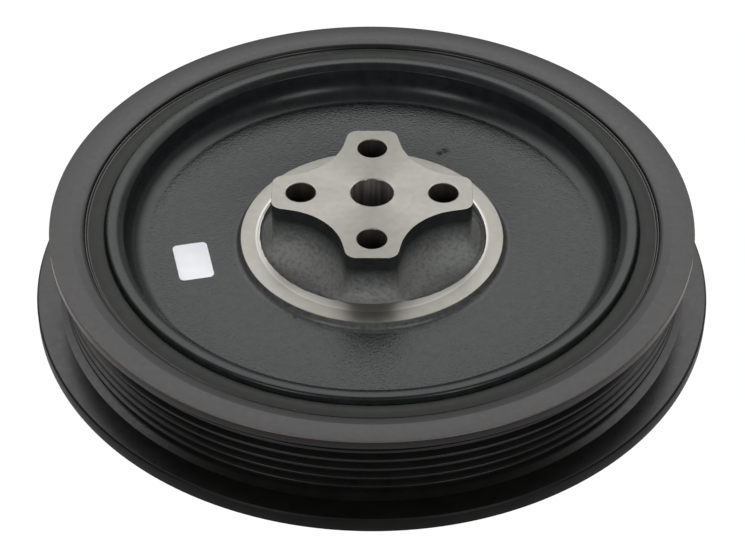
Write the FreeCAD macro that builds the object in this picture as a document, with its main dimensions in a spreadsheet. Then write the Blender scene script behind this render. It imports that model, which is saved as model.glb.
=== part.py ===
# Harmonic balancer: a cast hub with a lobed boss, a rubber ring and a grooved inertia ring, in millimetres
import FreeCAD, Part
import math
import os

import Sketcher

doc = FreeCAD.newDocument("harmonic_balancer")

# How near two positions count as the same, the parts of a turn, and the point numbers of sketch geometry
TOLERANCE = 0.01
HALF = 0.5
QUARTERS = 4
WHOLE_TURN = 360
START_POINT, END_POINT, CENTRE_POINT = range(1, 4)
SKETCH_ORIGIN = (-1, START_POINT)

# Driving dimensions
SIZES = {
    "hub_rim_radius": 80.9,
    "hub_rim_wall": 5.2,
    "hub_rim_drop": 0.3,
    "hub_rim_rear_height": 2.5,
    "hub_lip_round": 3.8,
    "hub_wall_round": 6.5,
    "wall_taper": 0.5,
    "rubber_width": 6.4,
    "rubber_front_recess": 2.8,
    "rubber_rear_recess": 3.5,
    "ring_wall": 7.7,
    "rim_overhang": 3.0,
    "rim_thickness": 2.9,
    "rim_edge_chamfer": 0.7,
    "bore_lip_width": 0.9,
    "bore_bevel_width": 3.0,
    "bore_bevel_drop": 0.45,
    "groove_pitch": 3.56,
    "groove_count": 6,
    "groove_depth": 3.587,
    "groove_angle": 40,
    "shoulder_overhang": 1.6,
    "flange_overhang": 8.9,
    "flange_thickness": 5.0,
    "flange_edge_chamfer": 0.5,
    "web_depth": 11.1,
    "web_thickness": 8.0,
    "web_rear_chamfer": 3.0,
    "bore_radius": 6.5,
    "bolt_hole_radius": 4.5,
    "bolt_circle_radius": 21.6,
    "bolt_count": 4,
    "hole_edge_chamfer": 0.4,
    "boss_height": 7.9,
    "boss_foot_round": 8.0,
    "lobe_end_margin": 8.8,
    "lobe_side_angle": 12,
    "lobe_corner_round": 3.6,
    "boss_waist_radius": 20.0,
    "boss_waist_arc_radius": 20.4,
    "core_margin": 1.2,
    "recess_depth": 11.6,
    "recess_gap": 2.6,
    "relief_gap": 0.8,
    "relief_width": 3.8,
    "relief_drop": 0.5,
    "face_ring_depth": 8.5,
    "face_ring_width": 5.4,
    "face_ring_bevel": 0.8,
    "rear_boss_margin": 3.6,
    "rear_boss_standoff": 4.4,
    "rear_edge_chamfer": 1.5,
    "label_width": 10.6,
    "label_length": 16.4,
    "label_corner_round": 1.6,
    "label_thickness": 0.2,
    "label_inset": 2.6,
    "label_place_angle": 190.7,
    "label_turn": 12.5,
}
sheet = doc.addObject("Spreadsheet::Sheet", "sizes")
for row, (name, value) in enumerate(SIZES.items(), start=1):
    sheet.set(f"A{row}", name)
    sheet.set(f"B{row}", str(value))
    sheet.setAlias(f"B{row}", name)
doc.recompute()


class Term:
    """A size as a number and as the sheet expression that it comes from."""

    def __init__(self, number, text):
        self.number = number
        self.text = text

    def __add__(self, other):
        other = term(other)
        return Term(self.number + other.number, f"({self.text} + {other.text})")

    def __sub__(self, other):
        other = term(other)
        return Term(self.number - other.number, f"({self.text} - {other.text})")

    def __mul__(self, other):
        other = term(other)
        return Term(self.number * other.number, f"({self.text} * {other.text})")

    def __truediv__(self, other):
        other = term(other)
        return Term(self.number / other.number, f"({self.text} / {other.text})")

    def __neg__(self):
        return Term(-self.number, f"(-1 * {self.text})")


def term(value):
    return value if isinstance(value, Term) else Term(value, str(value))


def size(name):
    return Term(float(SIZES[name]), f"sizes.{name}")


def sine(angle):
    return Term(math.sin(math.radians(angle.number)), f"sin({angle.text} * 1 deg)")


def cosine(angle):
    return Term(math.cos(math.radians(angle.number)), f"cos({angle.text} * 1 deg)")


def tangent(angle):
    return Term(math.tan(math.radians(angle.number)), f"tan({angle.text} * 1 deg)")


# Radii from the hub outward
rim_outer = size("hub_rim_radius")
rim_inner = rim_outer - size("hub_rim_wall")
ring_bore = rim_outer + size("rubber_width")
tip_radius = ring_bore + size("ring_wall")
root_radius = tip_radius - size("groove_depth")
shoulder_radius = tip_radius + size("shoulder_overhang")
rim_radius = tip_radius + size("rim_overhang")
flange_radius = tip_radius + size("flange_overhang")

# Radii of the boss and of the turned ring round it
lobe_reach = size("bolt_circle_radius") + size("lobe_end_margin")
relief_radius = lobe_reach + size("relief_gap")
recess_radius = lobe_reach + size("recess_gap")
face_ring_bore = relief_radius + size("relief_width")
face_ring_radius = face_ring_bore + size("face_ring_width")
rear_boss_radius = lobe_reach + size("rear_boss_margin")
core_radius = lobe_reach + size("boss_foot_round") + size("core_margin")

# Levels above the rear face of the flange, which is the plane z = 0
flank_slope = tangent(size("groove_angle") / 2)
flange_top = size("flange_thickness")
last_groove_centre = flange_top + (shoulder_radius - root_radius) * flank_slope
track_length = size("groove_pitch") * (size("groove_count") - 1)
first_groove_centre = last_groove_centre + track_length
rim_underside = first_groove_centre + (rim_radius - root_radius) * flank_slope
rim_top = rim_underside + size("rim_thickness")
hub_top = rim_top - size("hub_rim_drop")
web_top = rim_top - size("web_depth")
web_bottom = web_top - size("web_thickness")
rear_face = web_bottom - size("rear_boss_standoff")
face_ring_top = rim_top - size("face_ring_depth")
recess_floor = rim_top - size("recess_depth")
pad_top = rim_top + size("boss_height")


def origin_plane(body, role):
    for feature in body.Origin.OriginFeatures:
        if feature.Role == role:
            return feature


def new_body(name):
    body = doc.addObject("PartDesign::Body", name)
    body.Label = name
    return body


def new_sketch(body, name, role, height=None):
    sketch = body.newObject("Sketcher::SketchObject", name)
    sketch.AttachmentSupport = [(origin_plane(body, role), "")]
    sketch.MapMode = "FlatFace"
    if height is not None:
        sketch.setExpression("AttachmentOffset.Base.z", height.text)
    return sketch


def bind(sketch, kind, targets, value):
    """Adds one constraint and ties its value to the sheet."""
    index = sketch.addConstraint(Sketcher.Constraint(kind, *targets, value.number))
    sketch.setExpression(f"Constraints[{index}]", value.text)


def hollow_arc(start, end, radius):
    """An arc that bulges to the left of the way from start to end, so into an outline drawn leftward."""
    chord = end - start
    middle = (start + end) * HALF
    left = FreeCAD.Vector(-chord.y, chord.x, 0).normalize()
    rise = radius - math.sqrt(radius ** 2 - (chord.Length * HALF) ** 2)
    return Part.Arc(start, middle + left * rise, end)


def draw_outline(sketch, corners):
    """Draws a closed outline. A corner that has a radius starts an arc that bulges inward."""
    count = len(corners)
    corners = [tuple(term(item) for item in corner) for corner in corners]
    points = [FreeCAD.Vector(corner[0].number, corner[1].number, 0) for corner in corners]
    ends = []
    for index, corner in enumerate(corners):
        start = points[index]
        end = points[(index + 1) % count]
        if len(corner) == 3:
            edge = sketch.addGeometry(hollow_arc(start, end, corner[2].number))
            ends.append((edge, END_POINT, START_POINT))
            bind(sketch, "Radius", (edge,), corner[2])
        else:
            edge = sketch.addGeometry(Part.LineSegment(start, end))
            ends.append((edge, START_POINT, END_POINT))
    for index, corner in enumerate(corners):
        edge, first, _ = ends[index]
        previous, _, last = ends[index - 1]
        sketch.addConstraint(Sketcher.Constraint("Coincident", previous, last, edge, first))
        bind(sketch, "DistanceX", SKETCH_ORIGIN + (edge, first), corner[0])
        bind(sketch, "DistanceY", SKETCH_ORIGIN + (edge, first), corner[1])


def draw_circle(sketch, x, y, radius):
    centre = FreeCAD.Vector(x.number, y.number, 0)
    edge = sketch.addGeometry(Part.Circle(centre, FreeCAD.Vector(0, 0, 1), radius.number))
    bind(sketch, "DistanceX", SKETCH_ORIGIN + (edge, CENTRE_POINT), x)
    bind(sketch, "DistanceY", SKETCH_ORIGIN + (edge, CENTRE_POINT), y)
    bind(sketch, "Radius", (edge,), radius)


def revolve(body, name, corners, kind="PartDesign::Revolution"):
    """Turns a profile, given as radius and height, all the way round the Z axis."""
    sketch = new_sketch(body, name + "_profile", "XZ_Plane")
    draw_outline(sketch, corners)
    feature = body.newObject(kind, name)
    feature.Profile = sketch
    feature.ReferenceAxis = (sketch, ["V_Axis"])
    feature.Angle = WHOLE_TURN
    doc.recompute()
    return feature


def dress(body, name, kind, edges, value):
    """Rounds or bevels edges of the newest feature."""
    base = body.Tip
    feature = body.newObject("PartDesign::" + kind, name)
    feature.Base = (base, edges)
    feature.setExpression({"Fillet": "Radius", "Chamfer": "Size"}[kind], value.text)
    doc.recompute()
    return feature


def circles_at(feature, radius, height):
    """Names of the round edges with this radius and height that are centred on the Z axis."""
    names = []
    for index, edge in enumerate(feature.Shape.Edges, start=1):
        if not isinstance(edge.Curve, Part.Circle):
            continue
        centre = edge.Curve.Center
        on_axis = math.hypot(centre.x, centre.y) < TOLERANCE
        right_radius = abs(edge.Curve.Radius - radius.number) < TOLERANCE
        right_height = abs(centre.z - height.number) < TOLERANCE
        if on_axis and right_radius and right_height:
            names.append(f"Edge{index}")
    return names


def make_inertia_ring():
    """The outer iron ring with its belt track of V grooves, its rim and its rear flange."""
    body = new_body("inertia_ring")
    edge = size("rim_edge_chamfer")
    flange_edge = size("flange_edge_chamfer")
    lip_top = rim_top - size("bore_bevel_drop")
    revolve(body, "ring_blank", [
        (ring_bore, 0),
        (flange_radius, 0),
        (flange_radius, flange_top - flange_edge),
        (flange_radius - flange_edge, flange_top),
        (shoulder_radius, flange_top),
        (tip_radius, flange_top + (shoulder_radius - tip_radius) * flank_slope),
        (tip_radius, rim_underside - (rim_radius - tip_radius) * flank_slope),
        (rim_radius, rim_underside),
        (rim_radius, rim_top - edge),
        (rim_radius - edge, rim_top),
        (ring_bore + size("bore_bevel_width"), rim_top),
        (ring_bore + size("bore_lip_width"), lip_top),
        (ring_bore, lip_top - size("bore_lip_width")),
    ])
    tip_half = size("groove_depth") * flank_slope
    groove = revolve(body, "belt_groove", [
        (root_radius, first_groove_centre),
        (tip_radius, first_groove_centre - tip_half),
        (tip_radius, first_groove_centre + tip_half),
    ], kind="PartDesign::Groove")
    track = body.newObject("PartDesign::LinearPattern", "belt_track")
    track.Originals = [groove]
    track.Direction = (origin_plane(body, "Z_Axis"), [""])
    track.Reversed = True
    track.setExpression("Length", track_length.text)
    track.setExpression("Occurrences", "sizes.groove_count")
    body.Tip = track
    doc.recompute()
    return body


def make_damper_rubber():
    """The rubber ring that is pressed in between the hub and the inertia ring."""
    body = new_body("damper_rubber")
    front = rim_top - size("rubber_front_recess")
    rear = size("rubber_rear_recess")
    revolve(body, "rubber_ring", [
        (rim_outer, rear),
        (ring_bore, rear),
        (ring_bore, front),
        (rim_outer, front),
    ])
    return body


def boss_outline():
    """Corners of the four-lobed boss: straight lobes with drafted sides, joined by hollow arcs."""
    arc_radius = size("boss_waist_arc_radius")
    draft = size("lobe_side_angle")
    diagonal = Term(math.sqrt(HALF), "sqrt(0.5)")
    arc_centre = (size("boss_waist_radius") + arc_radius) * diagonal
    root_across = arc_centre - arc_radius * cosine(draft)
    root_along = arc_centre - arc_radius * sine(draft)
    end_across = root_across - (lobe_reach - root_along) * tangent(draft)
    quarter = [
        (lobe_reach, -end_across),
        (lobe_reach, end_across),
        (root_along, root_across, arc_radius),
        (root_across, root_along),
    ]
    corners = []
    for turn in range(QUARTERS):
        for corner in quarter:
            x, y = corner[0], corner[1]
            for _ in range(turn):
                x, y = -y, x
            corners.append((x, y) + corner[2:])
    return corners


def lobe_corner_edges(shape):
    """Names of the upright edges at the ends of the lobes."""
    names = []
    for index, edge in enumerate(shape.Edges, start=1):
        middle = edge.CenterOfMass
        upright = edge.BoundBox.ZLength > SIZES["boss_height"]
        at_end = max(abs(middle.x), abs(middle.y)) > lobe_reach.number - TOLERANCE
        if upright and at_end:
            names.append(f"Edge{index}")
    return names


def boss_foot_edges(shape):
    """Names of the edges where the walls of the boss meet the recess floor."""
    names = []
    for index, edge in enumerate(shape.Edges, start=1):
        box = edge.BoundBox
        level = box.ZLength < TOLERANCE and abs(box.ZMin - recess_floor.number) < TOLERANCE
        if level and len(edge.Vertexes) == 2:
            names.append(f"Edge{index}")
    return names


def hole_edges(shape):
    """Names of the round edges where the bore and the bolt holes meet the pad."""
    radii = (SIZES["bore_radius"], SIZES["bolt_hole_radius"])
    names = []
    for index, edge in enumerate(shape.Edges, start=1):
        if not isinstance(edge.Curve, Part.Circle):
            continue
        hole_sized = min(abs(edge.Curve.Radius - radius) for radius in radii) < TOLERANCE
        at_pad = abs(edge.Curve.Center.z - pad_top.number) < TOLERANCE
        if hole_sized and at_pad:
            names.append(f"Edge{index}")
    return names


def make_boss(body):
    """The core of the hub and the lobed boss that stands on it, with its wide foot fillet."""
    bore = size("bore_radius")
    revolve(body, "core", [
        (bore, web_bottom),
        (core_radius, web_bottom),
        (core_radius, recess_floor),
        (bore, recess_floor),
    ])
    outline = new_sketch(body, "boss_sketch", "XY_Plane", recess_floor)
    draw_outline(outline, boss_outline())
    draw_circle(outline, term(0.0), term(0.0), bore)
    boss = body.newObject("PartDesign::Pad", "boss")
    boss.Profile = outline
    boss.setExpression("Length", (pad_top - recess_floor).text)
    doc.recompute()
    dress(body, "lobe_corners", "Fillet", lobe_corner_edges(boss.Shape), size("lobe_corner_round"))
    dress(body, "boss_foot", "Fillet", boss_foot_edges(body.Tip.Shape), size("boss_foot_round"))


def make_plate(body):
    """The rim, the web, the raised face ring and the rear boss, and the faces turned round the boss."""
    bore = size("bore_radius")
    taper = size("wall_taper")
    rear_edge = size("rear_edge_chamfer")
    rear_corner = size("web_rear_chamfer")
    revolve(body, "plate", [
        (bore, rear_face),
        (rear_boss_radius - rear_edge, rear_face),
        (rear_boss_radius, rear_face + rear_edge),
        (rear_boss_radius + taper, web_bottom),
        (rim_inner - taper - rear_corner, web_bottom),
        (rim_inner - taper, web_bottom - rear_corner),
        (rim_inner, size("hub_rim_rear_height")),
        (rim_outer, size("hub_rim_rear_height")),
        (rim_outer, hub_top),
        (rim_inner, hub_top),
        (rim_inner - taper, web_top),
        (face_ring_radius + taper, web_top),
        (face_ring_radius, face_ring_top),
        (recess_radius, face_ring_top),
        (recess_radius - taper, recess_floor),
        (bore, recess_floor),
    ])
    bevel = size("face_ring_bevel")
    relief_edge = face_ring_top - bevel / 2
    clear_height = recess_floor + size("boss_foot_round") + taper
    revolve(body, "turned_faces", [
        (relief_radius, relief_edge - size("relief_drop")),
        (face_ring_bore, relief_edge),
        (face_ring_bore + bevel, face_ring_top),
        (face_ring_radius + taper, face_ring_top),
        (face_ring_radius + taper, clear_height),
        (relief_radius, clear_height),
    ], kind="PartDesign::Groove")
    lip = circles_at(body.Tip, rim_inner, hub_top)
    dress(body, "rim_lip", "Fillet", lip, size("hub_lip_round"))
    foot = circles_at(body.Tip, rim_inner - taper, web_top)
    dress(body, "web_edge", "Fillet", foot, size("hub_wall_round"))


def make_bolt_holes(body):
    """The ring of bolt holes through the lobes, with mouths bevelled like the bore's."""
    outline = new_sketch(body, "bolt_hole_sketch", "XY_Plane", rear_face)
    draw_circle(outline, size("bolt_circle_radius"), term(0.0), size("bolt_hole_radius"))
    hole = body.newObject("PartDesign::Pocket", "bolt_hole")
    hole.Profile = outline
    hole.Reversed = True
    hole.Type = "Length"
    hole.setExpression("Length", (pad_top - rear_face).text)
    doc.recompute()
    holes = body.newObject("PartDesign::PolarPattern", "bolt_holes")
    holes.Originals = [hole]
    holes.Axis = (origin_plane(body, "Z_Axis"), [""])
    holes.Angle = WHOLE_TURN
    holes.setExpression("Occurrences", "sizes.bolt_count")
    body.Tip = holes
    doc.recompute()
    dress(body, "hole_edges", "Chamfer", hole_edges(holes.Shape), size("hole_edge_chamfer"))


def make_hub():
    """The cast hub, in one piece."""
    body = new_body("hub")
    make_boss(body)
    make_plate(body)
    make_bolt_holes(body)
    return body


def make_blank_label():
    """A small blank label that lies on the web."""
    body = new_body("blank_label")
    half_width = size("label_width") / 2
    half_length = size("label_length") / 2
    outline = new_sketch(body, "label_sketch", "XY_Plane")
    draw_outline(outline, [
        (-half_width, -half_length),
        (half_width, -half_length),
        (half_width, half_length),
        (-half_width, half_length),
    ])
    pad = body.newObject("PartDesign::Pad", "label_sheet")
    pad.Profile = outline
    pad.setExpression("Length", "sizes.label_thickness")
    doc.recompute()
    corners = []
    for index, edge in enumerate(pad.Shape.Edges, start=1):
        if edge.BoundBox.ZLength > SIZES["label_thickness"] / 2:
            corners.append(f"Edge{index}")
    dress(body, "label_corners", "Fillet", corners, size("label_corner_round"))
    place_radius = (face_ring_radius + rim_inner) / 2 - size("label_inset")
    place_angle = size("label_place_angle")
    body.setExpression("Placement.Base.x", (place_radius * cosine(place_angle)).text)
    body.setExpression("Placement.Base.y", (place_radius * sine(place_angle)).text)
    body.setExpression("Placement.Base.z", web_top.text)
    body.setExpression("Placement.Rotation.Angle", "sizes.label_turn")
    doc.recompute()
    return body


parts = [make_hub(), make_damper_rubber(), make_inertia_ring(), make_blank_label()]
doc.recompute()

# Every object is checked before any file is written
for thing in doc.Objects:
    if "Invalid" in thing.State or "Error" in thing.State:
        raise RuntimeError(f"{thing.Name} failed: {thing.State}")
for body in parts:
    if body.Shape.isNull() or not body.Shape.isValid() or len(body.Shape.Solids) != 1:
        raise RuntimeError(f"{body.Label} is not one valid solid")

os.makedirs("parts", exist_ok=True)
for body in parts:
    body.Shape.exportStep(f"parts/{body.Label}.step")
    box = body.Shape.BoundBox
    print(body.Label, "volume", round(body.Shape.Volume, 1), "z", round(box.ZMin, 3), round(box.ZMax, 3))
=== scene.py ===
import math

import bmesh
import bpy
from mathutils import Matrix, Vector
from mathutils.kdtree import KDTree


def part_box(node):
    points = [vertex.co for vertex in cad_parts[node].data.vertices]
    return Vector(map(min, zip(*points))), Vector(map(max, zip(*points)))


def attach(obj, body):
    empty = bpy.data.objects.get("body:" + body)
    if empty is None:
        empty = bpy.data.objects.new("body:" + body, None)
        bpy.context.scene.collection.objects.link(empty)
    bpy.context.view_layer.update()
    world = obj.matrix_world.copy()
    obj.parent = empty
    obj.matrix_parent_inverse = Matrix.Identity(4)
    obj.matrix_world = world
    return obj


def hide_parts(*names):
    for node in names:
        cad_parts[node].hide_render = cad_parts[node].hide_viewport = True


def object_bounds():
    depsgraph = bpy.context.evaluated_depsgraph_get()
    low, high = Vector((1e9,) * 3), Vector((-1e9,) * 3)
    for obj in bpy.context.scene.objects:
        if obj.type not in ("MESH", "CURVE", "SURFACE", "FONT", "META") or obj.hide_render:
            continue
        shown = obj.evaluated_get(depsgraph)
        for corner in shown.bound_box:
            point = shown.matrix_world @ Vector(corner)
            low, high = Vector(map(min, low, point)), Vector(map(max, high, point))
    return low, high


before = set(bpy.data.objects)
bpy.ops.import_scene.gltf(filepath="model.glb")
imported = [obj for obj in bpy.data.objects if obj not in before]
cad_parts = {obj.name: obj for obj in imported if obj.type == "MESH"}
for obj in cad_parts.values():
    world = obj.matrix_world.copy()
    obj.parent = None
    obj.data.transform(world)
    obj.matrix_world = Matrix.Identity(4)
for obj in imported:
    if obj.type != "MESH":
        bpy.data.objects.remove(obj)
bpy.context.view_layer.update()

MM = 0.001


# Heights in millimetres above the rear flange's rear side
RIM_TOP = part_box("inertia_ring")[1][2] / MM
PAD_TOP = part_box("hub")[1][2] / MM
HUB_TOP = RIM_TOP - 0.3
HUB_REAR = 2.5
WEB_TOP = RIM_TOP - 11.1
WEB_BOTTOM = WEB_TOP - 8.0
FACE_TOP = RIM_TOP - 8.5
RECESS_FLOOR = RIM_TOP - 11.6
REAR_FACE = WEB_TOP - 12.4
RUBBER_FRONT = RIM_TOP - 2.1
RUBBER_REAR = 3.5

# Inertia ring: front rim, belt track and rear flange
RIM_RADIUS = 98.0
RIM_THICK = 2.9
RING_BORE = 87.3
RING_LAND = 91.2
RING_BEAD = 88.6
FLANGE_RADIUS = 103.9
FLANGE_TOP = 5.0
SHOULDER_RADIUS = 96.6
TIP_RADIUS = 95.0
GROOVE_PITCH = 3.56
GROOVE_COUNT = 6
GROOVE_DEPTH = 2.9
GROOVE_ROOT = 0.5
FLANK = math.tan(math.radians(20))

# Hub: outer rim, cast web, turned face ring and rear boss
HUB_RIM_RADIUS = 80.9
HUB_RIM_INNER = HUB_RIM_RADIUS - 5.2
CAST_AREA = 69.0
FACE_BORE = 35.0
FACE_RING = 40.4
REAR_BOSS = 34.0
REAR_BEVEL = 1.5
COVE_ROUND = 6.2

# Boss with its four lobes, and its holes
WAIST_RADIUS = 20.0
HOLLOW_RADIUS = 20.4
LOBE_REACH = 30.4
LOBE_DRAFT = math.radians(12)
LOBE_ROUND = 3.6
BORE_RADIUS = 6.5
BOLT_RADIUS = 4.5
BOLT_CIRCLE = 21.6
HOLE_BEVEL = 0.4

# Recess round the boss: cast foot fillet, cast bowl and the shallow cone that is turned over them
FOOT_ROUND = 8.0
BOWL_RADIUS = 31.7
BOWL_SHIFT = (0.4, 0.9)
BOWL_FRONT_SHIFT = 2.6
BOWL_ROUND = 3.2
BOWL_STEEPNESS = 8
FLOOR_BLEND = 1.2
RELIEF_RADIUS = 31.2
RELIEF_START = 33.0
RELIEF_DROP = 0.5
RELIEF_EDGE = FACE_TOP - 0.4

# Blank label on the web
LABEL_RADIUS = 55.4
LABEL_ANGLE = math.radians(190.7)
LABEL_TURN = math.radians(12.5)
LABEL_HALF_WIDTH = 5.3
LABEL_HALF_HEIGHT = 8.2
LABEL_ROUND = 1.6
LABEL_THICK = 0.2

# Small pits left by casting: place on the hub and size
PITS = (
    (21.7, 43.2, 1.6),
    (23.5, 44.5, 1.9),
    (-22.7, -35.3, 0.9),
    (-15.7, -15.4, 1.2),
    (-16.8, -17.0, 1.0),
)

# How finely the round shapes are divided
TURN_STEPS = 256
RAYS = 640
HOLE_STEPS = 96
FLOOR_STEPS = 20
CONE_STEPS = 12

# Small inset and drop of each row over the pad's edge, of which the first three are turned
PAD_EDGE = ((0.25, 0.0), (0.12, 0.0), (0.035, 0.035), (0.0, 0.12), (0.0, 0.25))
PAD_EDGE_TURNED = 3

# Material places on the hub
CAST = 0
TURNED = 1
DRILLED = 2

# Camera of the photograph: place in millimetres, turns in degrees and focal length
CAMERA_PLACE = (0.226, -539.1, 478.985)
CAMERA_TILT = 48.538
CAMERA_ROLL = 0.209
CAMERA_LENS = 111.14


def smooth(mesh, angle=32):
    """Shades a mesh smooth, except over edges sharper than the angle in degrees."""
    for face in mesh.polygons:
        face.use_smooth = True
    mesh.set_sharp_from_angle(angle=math.radians(angle))


def finished(name, shape, materials, node):
    """Turns a bmesh into an object at the origin that rides on the body."""
    bmesh.ops.remove_doubles(shape, verts=shape.verts, dist=1e-7)
    bmesh.ops.recalc_face_normals(shape, faces=shape.faces)
    mesh = bpy.data.meshes.new(name)
    shape.to_mesh(mesh)
    shape.free()
    for material in materials:
        mesh.materials.append(material)
    piece = bpy.data.objects.new(name, mesh)
    bpy.context.scene.collection.objects.link(piece)
    smooth(mesh)
    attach(piece, "root")
    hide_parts(node)


def rounded(corners, segments=4):
    """Gives each corner of a closed outline its radius. A corner is (x, y) or (x, y, radius)."""
    points = []
    count = len(corners)
    for index, corner in enumerate(corners):
        here = Vector(corner[:2])
        radius = corner[2] if len(corner) > 2 else 0
        if not radius:
            points.append(here)
            continue
        before = (Vector(corners[index - 1][:2]) - here).normalized()
        after = (Vector(corners[(index + 1) % count][:2]) - here).normalized()
        half = before.angle(after) / 2
        reach = radius / math.tan(half)
        centre = here + (before + after).normalized() * (radius / math.sin(half))
        start = here + before * reach - centre
        end = here + after * reach - centre
        sweep = start.angle_signed(end)
        steps = max(2, round((segments + radius) * abs(sweep) / (math.pi / 2)))
        for step in range(steps + 1):
            points.append(centre + Matrix.Rotation(-sweep * step / steps, 2) @ start)
    return points


def turned(corners):
    """A body turned round the Z axis from a closed outline of (radius, height) corners in millimetres."""
    shape = bmesh.new()
    outline = [shape.verts.new((point.x * MM, 0, point.y * MM)) for point in rounded(corners)]
    edges = [shape.edges.new((outline[index - 1], outline[index])) for index in range(len(outline))]
    bmesh.ops.spin(shape, geom=outline + edges, cent=(0, 0, 0), axis=(0, 0, 1), dvec=(0, 0, 0),
                   angle=2 * math.pi, steps=TURN_STEPS, use_merge=True)
    return shape


def make_inertia_ring(paint):
    """The grooved outer ring with its front rim and wider rear flange."""
    root_radius = TIP_RADIUS - GROOVE_DEPTH
    root_half = GROOVE_ROOT / 2
    tip_half = root_half + GROOVE_DEPTH * FLANK
    last_centre = FLANGE_TOP + (SHOULDER_RADIUS - root_radius) * FLANK + root_half
    corners = [
        (RING_BORE, 1.0, 0.3),
        (RING_BORE + 1.0, 0.0, 0.3),
        (FLANGE_RADIUS - 0.5, 0.0, 0.3),
        (FLANGE_RADIUS, 0.5, 0.3),
        (FLANGE_RADIUS, FLANGE_TOP - 0.5, 0.3),
        (FLANGE_RADIUS - 0.5, FLANGE_TOP, 0.3),
        (SHOULDER_RADIUS, FLANGE_TOP, 0.4),
    ]
    for index in range(GROOVE_COUNT):
        centre = last_centre + GROOVE_PITCH * index
        if index:
            corners.append((TIP_RADIUS, centre - tip_half, 0.2))
        corners.append((root_radius, centre - root_half, 0.15))
        corners.append((root_radius, centre + root_half, 0.15))
        if index < GROOVE_COUNT - 1:
            corners.append((TIP_RADIUS, centre + tip_half, 0.2))
    corners += [
        (RIM_RADIUS, RIM_TOP - RIM_THICK, 0.25),
        (RIM_RADIUS, RIM_TOP - 0.25, 0.1),
        (RIM_RADIUS - 0.25, RIM_TOP, 0.15),
        (RING_LAND, RIM_TOP, 0.6),
        (RING_BEAD, RIM_TOP - 0.45, 0.3),
        (RING_BORE, RIM_TOP - 0.9, 1.0),
    ]
    finished("ring_casting", turned(corners), [paint], "inertia_ring")


def make_rubber(rubber):
    """The rubber ring, hollow between two raised edges and sunk below the rims."""
    front = RUBBER_FRONT
    rear = RUBBER_REAR
    middle = (HUB_RIM_RADIUS + RING_BORE) / 2
    corners = [
        (HUB_RIM_RADIUS, rear + 0.6),
        (HUB_RIM_RADIUS + 0.8, rear, 0.3),
        (middle, rear + 0.3, 3.0),
        (RING_BORE - 0.8, rear, 0.3),
        (RING_BORE, rear + 0.6),
        (RING_BORE, front + 0.45, 0.1),
        (RING_BORE - 0.3, front + 0.45, 0.2),
        (RING_BORE - 0.7, front - 0.15, 0.2),
        (RING_BORE - 1.3, front - 0.15, 0.3),
        (middle, front + 0.25, 3.0),
        (HUB_RIM_RADIUS + 0.8, front, 0.3),
        (HUB_RIM_RADIUS, front - 0.8),
    ]
    finished("rubber_ring", turned(corners), [rubber], "damper_rubber")


def boss_outline():
    """Points of the four-lobed outline of the boss, closely spaced."""
    arc_centre = (WAIST_RADIUS + HOLLOW_RADIUS) * math.sqrt(0.5)
    root = Vector((arc_centre - HOLLOW_RADIUS * math.sin(LOBE_DRAFT),
                   arc_centre - HOLLOW_RADIUS * math.cos(LOBE_DRAFT)))
    end = Vector((LOBE_REACH, root.y - (LOBE_REACH - root.x) * math.tan(LOBE_DRAFT)))
    lobe = [(root.x, -root.y), (end.x, -end.y, LOBE_ROUND), (end.x, end.y, LOBE_ROUND), (root.x, root.y)]
    quarter = rounded(lobe, segments=20)
    first = math.atan2(root.y - arc_centre, root.x - arc_centre)
    last = math.atan2(root.x - arc_centre, root.y - arc_centre)
    steps = 40
    for step in range(1, steps):
        angle = first + (last - first) * step / steps
        quarter.append(Vector((arc_centre + HOLLOW_RADIUS * math.cos(angle),
                               arc_centre + HOLLOW_RADIUS * math.sin(angle))))
    points = []
    for turn in range(4):
        spin = Matrix.Rotation(turn * math.pi / 2, 2)
        points += [spin @ point for point in quarter]
    return points


def along_rays(outline, count):
    """Where each of the evenly turned rays from the axis crosses a closed outline."""
    crossings = []
    for index in range(count):
        angle = 2 * math.pi * index / count
        ray = Vector((math.cos(angle), math.sin(angle)))
        best = None
        for number, end in enumerate(outline):
            start = outline[number - 1]
            side_a = ray.x * start.y - ray.y * start.x
            side_b = ray.x * end.y - ray.y * end.x
            if side_a * side_b > 0 or side_a == side_b:
                continue
            point = start.lerp(end, side_a / (side_a - side_b))
            if point.dot(ray) > 0:
                best = point
        crossings.append(best)
    return crossings


def near_finder(outline):
    """A tree of points every 0.05 mm along an outline, to look up how near other points are."""
    places = []
    for index, end in enumerate(outline):
        start = outline[index - 1]
        steps = max(1, math.ceil((end - start).length / 0.05))
        places += [start.lerp(end, step / steps) for step in range(steps)]
    tree = KDTree(len(places))
    for index, place in enumerate(places):
        tree.insert((place.x, place.y, 0.0), index)
    tree.balance()
    return tree


def towards_front(point):
    """One for a place straight in front of the axis, falling to zero at the sides and the rear."""
    return max(0.0, -point.y / point.length) ** 2


def cast_height(near, point):
    """Height of the cast floor round the boss: foot fillet, flat floor and the bowl's outer rise."""
    away = near.find((point.x, point.y, 0.0))[2]
    foot = 0.0
    if away < FOOT_ROUND:
        foot = FOOT_ROUND - math.sqrt(FOOT_ROUND ** 2 - (FOOT_ROUND - away) ** 2)
    shift = (BOWL_SHIFT[0] * point.x + BOWL_SHIFT[1] * point.y) / point.length
    shift -= BOWL_FRONT_SHIFT * towards_front(point)
    out = point.length - BOWL_RADIUS - shift
    bowl = 0.0
    if out > 0:
        bowl = BOWL_ROUND - math.sqrt(max(0.0, BOWL_ROUND ** 2 - min(out, BOWL_ROUND) ** 2))
        bowl += max(0.0, out - BOWL_ROUND) * BOWL_STEEPNESS
    overlap = max(FLOOR_BLEND - abs(foot - bowl), 0.0) / FLOOR_BLEND
    return RECESS_FLOOR + max(foot, bowl) + overlap ** 2 * FLOOR_BLEND / 4


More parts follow.
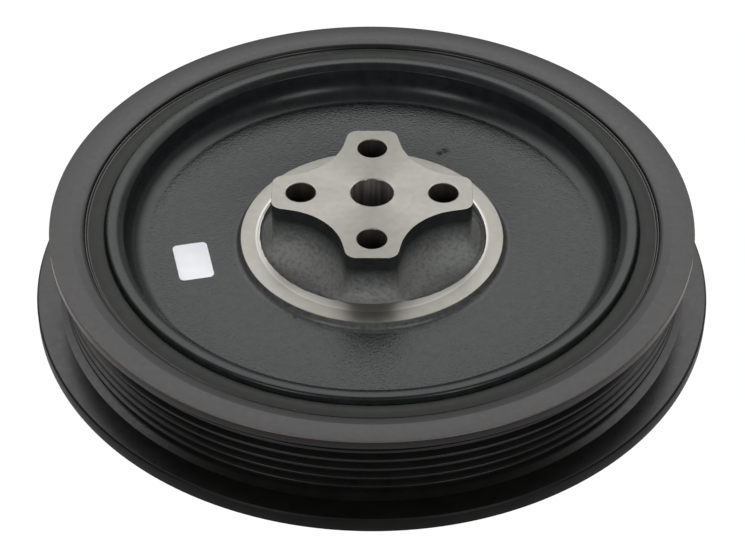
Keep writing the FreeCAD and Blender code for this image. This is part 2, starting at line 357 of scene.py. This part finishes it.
def relief_start(way):
    """Where the turned cone begins along a ray. It reaches further in at the front than at the sides."""
    return RELIEF_START - (RELIEF_START - RELIEF_RADIUS) * towards_front(way)


def relief_height(radius):
    """Height of the shallow cone that is turned round the boss."""
    slope = RELIEF_DROP / (FACE_BORE - RELIEF_RADIUS)
    return RELIEF_EDGE - RELIEF_DROP + (radius - RELIEF_RADIUS) * slope


def ring_of(shape, points):
    """One closed row of vertices from points (x, y, z) in millimetres."""
    return [shape.verts.new((x * MM, y * MM, z * MM)) for x, y, z in points]


def band(shape, first, second, finish):
    """Joins two closed rows of the same count. The finish is one for all faces, or a list."""
    count = len(first)
    finishes = finish if isinstance(finish, list) else [finish] * count
    for index in range(count):
        after = (index + 1) % count
        face = shape.faces.new((first[index], first[after], second[after], second[index]))
        face.material_index = finishes[index]


def next_row(shape, last, points, finish):
    """Adds one closed row of vertices and joins it to the last one."""
    row = ring_of(shape, points)
    band(shape, last, row, finish)
    return row


def level_circle(radius, height, count=RAYS, centre=(0.0, 0.0)):
    """Points of a level circle."""
    points = []
    for index in range(count):
        angle = 2 * math.pi * index / count
        points.append((centre[0] + radius * math.cos(angle), centre[1] + radius * math.sin(angle), height))
    return points


def fill_between(shape, rows, finish):
    """Fills the flat face between an outer row of vertices and the rows round its holes."""
    edges = []
    for row in rows:
        edges += [shape.edges.get((row[index - 1], row[index])) for index in range(len(row))]
    made = bmesh.ops.triangle_fill(shape, edges=edges, use_beauty=True, use_dissolve=False)
    for face in made["geom"]:
        if isinstance(face, bmesh.types.BMFace):
            face.material_index = finish


def cut_hole(shape, radius, centre):
    """The wall of one hole with bevelled mouths. Gives back its rows on the pad and the rear face."""
    mouth = radius + HOLE_BEVEL
    flat = 0.12
    rounding = HOLE_BEVEL * 0.3
    pad_row = ring_of(shape, level_circle(mouth + flat, PAD_TOP, HOLE_STEPS, centre))
    last = pad_row
    for reach, height, finish in (
        (mouth, PAD_TOP, TURNED),
        (radius + rounding, PAD_TOP - rounding, TURNED),
        (radius, PAD_TOP - HOLE_BEVEL, TURNED),
        (radius, PAD_TOP - HOLE_BEVEL - flat, DRILLED),
        (radius, REAR_FACE + HOLE_BEVEL + flat, DRILLED),
        (radius, REAR_FACE + HOLE_BEVEL, TURNED),
        (mouth, REAR_FACE, TURNED),
        (mouth + flat, REAR_FACE, TURNED),
    ):
        last = next_row(shape, last, level_circle(reach, height, HOLE_STEPS, centre), finish)
    return pad_row, last


def pad_edge_rows(shape, edge):
    """The slightly rounded edge of the pad. Gives back its first and its last row."""
    normals = []
    for index in range(RAYS):
        along = (edge[(index + 1) % RAYS] - edge[index - 1]).normalized()
        normals.append(Vector((along.y, -along.x)))
    rows = []
    for inset, drop in PAD_EDGE:
        points = [point - normal * inset for point, normal in zip(edge, normals)]
        rows.append(ring_of(shape, [point.to_tuple() + (PAD_TOP - drop,) for point in points]))
    for index in range(1, len(rows)):
        band(shape, rows[index - 1], rows[index], TURNED if index < PAD_EDGE_TURNED else CAST)
    return rows[0], rows[-1]


def boss_rows(shape):
    """The boss wall, the cast floor and the turned cone. Gives back the first and the last row."""
    outline = boss_outline()
    near = near_finder(outline)
    edge = along_rays(outline, RAYS)
    pad_row, last = pad_edge_rows(shape, edge)
    for above in (8.0, 4.0, 0.0):
        height = RECESS_FLOOR + FOOT_ROUND + above
        last = next_row(shape, last, [point.to_tuple() + (height,) for point in edge], CAST)
    for step in range(1, FLOOR_STEPS + 1):
        share = 0.5 - 0.5 * math.cos(math.pi * step / FLOOR_STEPS)
        points = []
        for start in edge:
            way = start.normalized()
            point = start.lerp(way * relief_start(way), share)
            points.append(point.to_tuple() + (cast_height(near, point),))
        last = next_row(shape, last, points, CAST)
    for step in range(CONE_STEPS + 1):
        points = []
        finishes = []
        for start in edge:
            way = start.normalized()
            begin = relief_start(way)
            radius = begin + 0.02 + (FACE_BORE - begin) * step / CONE_STEPS
            point = way * radius
            cast = cast_height(near, point)
            cone = relief_height(radius)
            points.append(point.to_tuple() + (min(cast, cone),))
            finishes.append(TURNED if step and cast > cone else CAST)
        last = next_row(shape, last, points, finishes)
    return pad_row, last


def profile_finish(before, after):
    """Turned or cast, for the stretch of the hub's profile between two of its points."""
    below_web = max(before.y, after.y) < WEB_TOP
    on_rear = min(before.x, after.x) < REAR_BOSS and after.y < REAR_FACE + REAR_BEVEL + 0.1
    on_face_ring = max(before.x, after.x) < FACE_RING + 0.02 and after.y > FACE_TOP - 0.35
    return TURNED if (below_web and on_rear) or on_face_ring else CAST


def make_hub(materials):
    """The cast hub: rim, web, turned face ring, four-lobed boss and holes, all in one casting."""
    shape = bmesh.new()
    pad_row, last = boss_rows(shape)
    profile = [
        (FACE_BORE, RELIEF_EDGE),
        (FACE_BORE + 0.12, FACE_TOP - 0.07),
        (FACE_BORE + 0.9, FACE_TOP, 0.2),
        (FACE_RING, FACE_TOP, 0.4),
        (FACE_RING + 0.6, WEB_TOP, 1.6),
        (HUB_RIM_INNER - 0.5, WEB_TOP, COVE_ROUND),
        (HUB_RIM_INNER, HUB_TOP - 1.5, 0.3),
        (HUB_RIM_INNER + 2.0, HUB_TOP, 2.5),
        (HUB_RIM_RADIUS, HUB_TOP, 0.9),
        (HUB_RIM_RADIUS, HUB_REAR, 0.5),
        (HUB_RIM_INNER, HUB_REAR, 1.2),
        (HUB_RIM_INNER - 0.5, WEB_BOTTOM, 4.0),
        (REAR_BOSS + 0.5, WEB_BOTTOM, 2.0),
        (REAR_BOSS, REAR_FACE + REAR_BEVEL),
        (REAR_BOSS - REAR_BEVEL, REAR_FACE),
        (REAR_BOSS - REAR_BEVEL - 0.2, REAR_FACE),
        (0, REAR_FACE),
    ]
    points = rounded(profile)[:-1]
    for before, after in zip(points, points[1:]):
        last = next_row(shape, last, level_circle(after.x, after.y), profile_finish(before, after))
    pad_rows = [pad_row]
    rear_rows = [last]
    holes = [(BORE_RADIUS, (0.0, 0.0))]
    for turn in range(4):
        angle = turn * math.pi / 2
        holes.append((BOLT_RADIUS, (BOLT_CIRCLE * math.cos(angle), BOLT_CIRCLE * math.sin(angle))))
    for radius, centre in holes:
        pad_end, rear_end = cut_hole(shape, radius, centre)
        pad_rows.append(pad_end)
        rear_rows.append(rear_end)
    fill_between(shape, pad_rows, TURNED)
    fill_between(shape, rear_rows, TURNED)
    finished("hub_casting", shape, materials, "hub")


def make_label(paper):
    """The small blank label with rounded corners that lies on the web."""
    centre = Vector((LABEL_RADIUS * math.cos(LABEL_ANGLE), LABEL_RADIUS * math.sin(LABEL_ANGLE)))
    spin = Matrix.Rotation(LABEL_TURN, 2)
    corners = [
        (-LABEL_HALF_WIDTH, -LABEL_HALF_HEIGHT, LABEL_ROUND),
        (LABEL_HALF_WIDTH, -LABEL_HALF_HEIGHT, LABEL_ROUND),
        (LABEL_HALF_WIDTH, LABEL_HALF_HEIGHT, LABEL_ROUND),
        (-LABEL_HALF_WIDTH, LABEL_HALF_HEIGHT, LABEL_ROUND),
    ]
    outline = [spin @ point + centre for point in rounded(corners, segments=5)]
    inner = [centre + (point - centre) * 0.985 for point in outline]
    shape = bmesh.new()
    bottom = ring_of(shape, [point.to_tuple() + (WEB_TOP,) for point in outline])
    side = next_row(shape, bottom, [point.to_tuple() + (WEB_TOP + 0.15,) for point in outline], 0)
    top = next_row(shape, side, [point.to_tuple() + (WEB_TOP + LABEL_THICK,) for point in inner], 0)
    shape.faces.new(top)
    shape.faces.new(bottom[::-1])
    finished("blank_sticker", shape, [paper], "blank_label")


def new_material(name, roughness, metallic, specular):
    """A material with its main values set, and its node tree."""
    material = bpy.data.materials.new(name)
    material.use_nodes = True
    tree = material.node_tree
    surface = tree.nodes["Principled BSDF"]
    surface.inputs["Roughness"].default_value = roughness
    surface.inputs["Metallic"].default_value = metallic
    surface.inputs["Specular IOR Level"].default_value = specular
    return material, tree, surface


def own_place(tree):
    """The object's own coordinates, in metres."""
    return tree.nodes.new("ShaderNodeTexCoord").outputs["Object"]


def stretched(tree, factors):
    """The object's own coordinates with each axis multiplied by its factor."""
    node = tree.nodes.new("ShaderNodeVectorMath")
    node.operation = "MULTIPLY"
    node.inputs[1].default_value = factors
    tree.links.new(own_place(tree), node.inputs[0])
    return node.outputs["Vector"]


def radius_from_axis(tree):
    """How far each place is from the turning axis, in metres."""
    node = tree.nodes.new("ShaderNodeVectorMath")
    node.operation = "LENGTH"
    tree.links.new(stretched(tree, (1.0, 1.0, 0.0)), node.inputs[0])
    return node.outputs["Value"]


def height_of(tree):
    """How high each place is, in metres."""
    node = tree.nodes.new("ShaderNodeSeparateXYZ")
    tree.links.new(own_place(tree), node.inputs["Vector"])
    return node.outputs["Z"]


def distance_to(tree, place):
    """How far each place is from one point, in metres."""
    node = tree.nodes.new("ShaderNodeVectorMath")
    node.operation = "DISTANCE"
    node.inputs[1].default_value = place
    tree.links.new(own_place(tree), node.inputs[0])
    return node.outputs["Value"]


def noise(tree, scale, detail=3.0, roughness=0.55, place=None):
    """A noise pattern over the object's own coordinates, with scale given per metre."""
    node = tree.nodes.new("ShaderNodeTexNoise")
    node.inputs["Scale"].default_value = scale
    node.inputs["Detail"].default_value = detail
    node.inputs["Roughness"].default_value = roughness
    tree.links.new(place or own_place(tree), node.inputs["Vector"])
    return node.outputs["Fac"]


def spread(tree, value, low, high, from_low=0.3, from_high=0.7):
    """Spreads a pattern between two values."""
    node = tree.nodes.new("ShaderNodeMapRange")
    node.inputs["From Min"].default_value = from_low
    node.inputs["From Max"].default_value = from_high
    node.inputs["To Min"].default_value = low
    node.inputs["To Max"].default_value = high
    tree.links.new(value, node.inputs["Value"])
    return node.outputs["Result"]


def between(tree, share, low, high):
    """Goes from one value to another as a share goes from zero to one."""
    return spread(tree, share, low, high, 0.0, 1.0)


def beyond(tree, length, start, end):
    """Rises from zero to one between two lengths in millimetres."""
    return spread(tree, length, 0.0, 1.0, start * MM, end * MM)


def within(tree, length, start, end):
    """Falls from one to zero between two lengths in millimetres."""
    return spread(tree, length, 1.0, 0.0, start * MM, end * MM)


def worked_out(tree, operation, *values, clamp=False):
    """One value from others. Each is a plain number or comes out of another node."""
    node = tree.nodes.new("ShaderNodeMath")
    node.operation = operation
    node.use_clamp = clamp
    for place, value in zip(node.inputs, values):
        if isinstance(value, float):
            place.default_value = value
        else:
            tree.links.new(value, place)
    return node.outputs["Value"]


def times(tree, *values):
    """Multiplies values with each other."""
    product = values[0]
    for value in values[1:]:
        product = worked_out(tree, "MULTIPLY", product, value)
    return product


def two_colours(tree, factor, first, second, blend="MIX"):
    """Mixes two colours by a factor. Each is three plain numbers or comes out of another node."""
    node = tree.nodes.new("ShaderNodeMix")
    node.data_type = "RGBA"
    node.blend_type = blend
    for name, colour in (("A", first), ("B", second)):
        if isinstance(colour, tuple):
            node.inputs[name].default_value = (*colour, 1.0)
        else:
            tree.links.new(colour, node.inputs[name])
    if isinstance(factor, float):
        node.inputs["Factor"].default_value = factor
    else:
        tree.links.new(factor, node.inputs["Factor"])
    return node.outputs["Result"]


def bumped(tree, surface, height, strength, distance):
    """Roughens the surface by a height pattern, with the distance in millimetres."""
    bump = tree.nodes.new("ShaderNodeBump")
    bump.inputs["Strength"].default_value = strength
    bump.inputs["Distance"].default_value = distance * MM
    tree.links.new(height, bump.inputs["Height"])
    tree.links.new(bump.outputs["Normal"], surface.inputs["Normal"])


def casting_pits(tree):
    """One in the small ragged pits of the casting, and zero elsewhere."""
    pitted = 0.0
    for x, y, size in PITS:
        away = distance_to(tree, (x * MM, y * MM, WEB_TOP * MM))
        pitted = worked_out(tree, "MAXIMUM", pitted, within(tree, away, size * 0.4, size))
    return times(tree, pitted, spread(tree, noise(tree, 1900.0, 1.0, 0.4), 0.0, 1.0, 0.38, 0.50))


def recess_painted_light(tree, recess):
    """Painted light: a mottled grey added on the boss wall and in the recess for the light they catch,
    fading out up the wall towards the pad.
    """
    low = within(tree, height_of(tree), PAD_TOP - 13.5, PAD_TOP - 4.5)
    inside = within(tree, radius_from_axis(tree), FACE_RING + 0.6, FACE_RING + 2.6)
    mottled = spread(tree, noise(tree, 800.0, 2.0, 0.5), 0.65, 1.25)
    share = times(tree, low, between(tree, recess, 0.4, 1.0), inside, mottled)
    # Painted light: the grey that is added for the light falling in the recess
    return two_colours(tree, share, (0.0, 0.0, 0.0), (0.100, 0.102, 0.098))


def hub_paint():
    """Thin black paint on the hub: smooth on the turned rim and wall, grainy over the rough cast web, with
    painted light added on the boss wall and in the recess.
    """
    material, tree, surface = new_material("hub_paint", 0.3, 0.0, 0.17)
    recess = within(tree, radius_from_axis(tree), FACE_BORE - 1.0, FACE_BORE)
    cast_area = within(tree, radius_from_axis(tree), CAST_AREA, CAST_AREA + 1.5)
    shade = spread(tree, noise(tree, 260.0), 0.0, 1.0)
    black = two_colours(tree, shade, (0.0050, 0.0058, 0.0060), (0.0085, 0.0095, 0.0098))
    # Painted light added to the black paint on the boss wall and in the recess
    tone = two_colours(tree, 1.0, black, recess_painted_light(tree, recess), blend="ADD")
    tree.links.new(tone, surface.inputs["Base Color"])
    rough = spread(tree, noise(tree, 700.0), 0.25, 0.32)
    rough = worked_out(tree, "MULTIPLY_ADD", cast_area, -0.05, rough)
    rough = worked_out(tree, "MULTIPLY_ADD", recess, 0.25, rough)
    tree.links.new(rough, surface.inputs["Roughness"])
    shine = times(tree, between(tree, cast_area, 0.12, 0.133), between(tree, casting_pits(tree), 1.0, 0.05))
    tree.links.new(shine, surface.inputs["Specular IOR Level"])
    grain = times(tree, noise(tree, 1500.0, 2.5, 0.5), between(tree, cast_area, 0.04, 1.0),
                  between(tree, recess, 1.0, 2.5))
    bumped(tree, surface, grain, 1.0, 0.15)
    return material


def ring_paint():
    """Smooth black paint on the outer ring, worn through to brown along the rim's front edge."""
    material, tree, surface = new_material("ring_paint", 0.3, 0.0, 0.15)
    radius = radius_from_axis(tree)
    shade = spread(tree, noise(tree, 150.0), 0.0, 1.0)
    black = two_colours(tree, shade, (0.0018, 0.0018, 0.0017), (0.0030, 0.0030, 0.0028))
    front_edge = beyond(tree, height_of(tree), RIM_TOP - 0.30, RIM_TOP - 0.20)
    worn = times(tree, front_edge, beyond(tree, radius, RIM_RADIUS - 0.4, RIM_RADIUS - 0.2))
    tree.links.new(two_colours(tree, worn, black, (0.058, 0.047, 0.037)), surface.inputs["Base Color"])
    outer_edge = beyond(tree, radius, FLANGE_RADIUS - 0.7, FLANGE_RADIUS - 0.2)
    rough = worked_out(tree, "MULTIPLY_ADD", outer_edge, 0.1, spread(tree, noise(tree, 500.0), 0.27, 0.34))
    tree.links.new(rough, surface.inputs["Roughness"])
    tree.links.new(between(tree, outer_edge, 0.168, 0.05), surface.inputs["Specular IOR Level"])
    bumped(tree, surface, noise(tree, 1300.0), 1.0, 0.02)
    return material


def turned_iron():
    """Bare iron with fine turning marks, with a painted highlight: lighter colour on the cone and at the
    face ring's lip.
    """
    material, tree, surface = new_material("turned_iron", 0.42, 1.0, 0.5)
    radius = radius_from_axis(tree)
    shade = spread(tree, noise(tree, 400.0), 0.0, 1.0)
    plain = two_colours(tree, shade, (0.108, 0.105, 0.094), (0.121, 0.118, 0.106))
    # Painted highlight: lighter iron colour on the cone and the face ring's lip
    painted_highlight = times(tree, beyond(tree, radius, RELIEF_RADIUS - 0.2, RELIEF_RADIUS),
                     within(tree, radius, FACE_BORE + 0.7, FACE_BORE + 0.9))
    tree.links.new(two_colours(tree, painted_highlight, plain, (0.19, 0.185, 0.17)), surface.inputs["Base Color"])
    surface.inputs["Anisotropic"].default_value = 0.8
    tree.links.new(stretched(tree, (1.0, 1.0, 0.0)), surface.inputs["Tangent"])
    marks = tree.nodes.new("ShaderNodeTexWave")
    marks.wave_type = "RINGS"
    marks.rings_direction = "Z"
    marks.inputs["Scale"].default_value = 1600.0
    marks.inputs["Distortion"].default_value = 1.0
    tree.links.new(own_place(tree), marks.inputs["Vector"])
    bumped(tree, surface, marks.outputs["Fac"], 0.15, 0.004)
    return material


def drilled_iron():
    """The darker bare iron inside the holes, streaked along them and lighter in the middle bore."""
    material, tree, surface = new_material("drilled_iron", 0.4, 0.5, 0.3)
    streaks = noise(tree, 420.0, 2.0, 0.5, stretched(tree, (1.0, 1.0, 0.08)))
    shade = spread(tree, streaks, 0.0, 1.0, 0.35, 0.65)
    bolt_wall = two_colours(tree, shade, (0.022, 0.019, 0.016), (0.038, 0.033, 0.028))
    bore_wall = two_colours(tree, shade, (0.045, 0.043, 0.040), (0.130, 0.126, 0.118))
    middle = within(tree, radius_from_axis(tree), BORE_RADIUS + 1.5, BORE_RADIUS + 2.5)
    tree.links.new(two_colours(tree, middle, bolt_wall, bore_wall), surface.inputs["Base Color"])
    return material


def damper_rubber():
    """Matt grey-black rubber, glossier on the bead against the outer ring."""
    material, tree, surface = new_material("damper_rubber", 0.6, 0.0, 0.13)
    shade = spread(tree, noise(tree, 300.0), 0.0, 1.0)
    black = two_colours(tree, shade, (0.012, 0.012, 0.0116), (0.018, 0.018, 0.0174))
    tree.links.new(black, surface.inputs["Base Color"])
    bead = beyond(tree, radius_from_axis(tree), RING_BORE - 1.0, RING_BORE - 0.8)
    tree.links.new(between(tree, bead, 0.6, 0.28), surface.inputs["Roughness"])
    tree.links.new(between(tree, bead, 0.13, 0.22), surface.inputs["Specular IOR Level"])
    bumped(tree, surface, times(tree, noise(tree, 2200.0), between(tree, bead, 1.0, 0.1)), 0.5, 0.05)
    return material


def label_paper():
    """White paper of the blank label."""
    material, tree, surface = new_material("white_paper", 0.55, 0.0, 0.3)
    shade = spread(tree, noise(tree, 150.0), 0.0, 1.0)
    white = two_colours(tree, shade, (0.86, 0.89, 0.94), (0.95, 0.95, 0.95))
    tree.links.new(white, surface.inputs["Base Color"])
    return material


def softbox(name, azimuth, elevation):
    """A rectangular soft lamp. Azimuth is counted from the front, positive to the right."""
    distance = 1.5
    turn = math.radians(azimuth)
    rise = math.radians(elevation)
    away = Vector((math.sin(turn) * math.cos(rise), -math.cos(turn) * math.cos(rise), math.sin(rise)))
    light = bpy.data.lights.new(name, "AREA")
    light.shape = "RECTANGLE"
    light.size = 0.42
    light.size_y = 0.7
    light.energy = 12.0
    lamp = bpy.data.objects.new(name, light)
    lamp.location = away * distance
    lamp.rotation_euler = away.to_track_quat("Z", "Y").to_euler()
    bpy.context.scene.collection.objects.link(lamp)


def seen_directly(tree):
    """One for camera, mirror and glass rays, and nothing for the rays that light things softly."""
    path = tree.nodes.new("ShaderNodeLightPath")
    seen = path.outputs["Is Camera Ray"]
    for kind in ("Is Glossy Ray", "Is Transmission Ray"):
        seen = worked_out(tree, "ADD", seen, path.outputs[kind], clamp=True)
    return seen


def make_floor():
    """A wide pale floor that keeps the soft shadow under the part."""
    shape = bmesh.new()
    bmesh.ops.create_grid(shape, x_segments=1, y_segments=1, size=6.0)
    mesh = bpy.data.meshes.new("studio_floor")
    shape.to_mesh(mesh)
    shape.free()
    material, tree, surface = new_material("pale_floor", 0.9, 0.0, 0.0)
    surface.inputs["Base Color"].default_value = (0.6, 0.6, 0.6, 1.0)
    bright = tree.nodes.new("ShaderNodeEmission")
    bright.inputs["Color"].default_value = (1.0, 1.0, 1.0, 1.0)
    bright.inputs["Strength"].default_value = 1.14
    mix = tree.nodes.new("ShaderNodeMixShader")
    tree.links.new(between(tree, seen_directly(tree), 0.0, 0.85), mix.inputs["Fac"])
    tree.links.new(surface.outputs["BSDF"], mix.inputs[1])
    tree.links.new(bright.outputs["Emission"], mix.inputs[2])
    tree.links.new(mix.outputs["Shader"], tree.nodes["Material Output"].inputs["Surface"])
    mesh.materials.append(material)
    floor = bpy.data.objects.new("studio_floor", mesh)
    floor.location = (0.0, 0.0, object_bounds()[0][2] - 0.0002)
    bpy.context.scene.collection.objects.link(floor)


def make_world():
    """White surroundings, brighter high up behind the part, and a low even light for soft rays."""
    world = bpy.data.worlds.new("studio")
    world.use_nodes = True
    tree = world.node_tree
    background = tree.nodes["Background"]
    background.inputs["Color"].default_value = (1.0, 1.0, 1.0, 1.0)
    coordinates = tree.nodes.new("ShaderNodeTexCoord")
    way = tree.nodes.new("ShaderNodeSeparateXYZ")
    tree.links.new(coordinates.outputs["Generated"], way.inputs["Vector"])
    rising = spread(tree, way.outputs["Z"], 0.0, 1.0, 0.40, 0.70)
    falling = spread(tree, way.outputs["Z"], 1.0, 0.1, 0.86, 0.93)
    behind = spread(tree, way.outputs["Y"], 0.0, 1.0, 0.0, 0.40)
    near_horizon = spread(tree, way.outputs["Z"], 1.0, 0.5, 0.15, 0.40)
    screen = times(tree, rising, falling, behind)
    bright = worked_out(tree, "MULTIPLY_ADD", screen, 6.6, near_horizon)
    soft = tree.nodes.new("ShaderNodeMix")
    soft.inputs["A"].default_value = 0.5
    tree.links.new(seen_directly(tree), soft.inputs["Factor"])
    tree.links.new(bright, soft.inputs["B"])
    tree.links.new(soft.outputs["Result"], background.inputs["Strength"])
    bpy.context.scene.world = world


def make_camera():
    """The camera of the photograph: above the front, looking down at the part."""
    lens = bpy.data.cameras.new("photo_camera")
    lens.lens = CAMERA_LENS
    lens.sensor_width = 36.0
    lens.sensor_fit = "HORIZONTAL"
    lens.clip_start = 0.05
    camera = bpy.data.objects.new("photo_camera", lens)
    camera.location = Vector(CAMERA_PLACE) * MM
    tilt = Matrix.Rotation(math.radians(CAMERA_TILT), 3, "X")
    roll = Matrix.Rotation(math.radians(CAMERA_ROLL), 3, "Z")
    camera.rotation_euler = (tilt @ roll).to_euler()
    bpy.context.scene.collection.objects.link(camera)
    bpy.context.scene.camera = camera


make_inertia_ring(ring_paint())
make_rubber(damper_rubber())
make_hub([hub_paint(), turned_iron(), drilled_iron()])
make_label(label_paper())

make_floor()
make_world()
make_camera()
softbox("softbox_left", -34, 25)
softbox("softbox_right", 32, 25)

bpy.context.scene.view_settings.view_transform = "Standard"
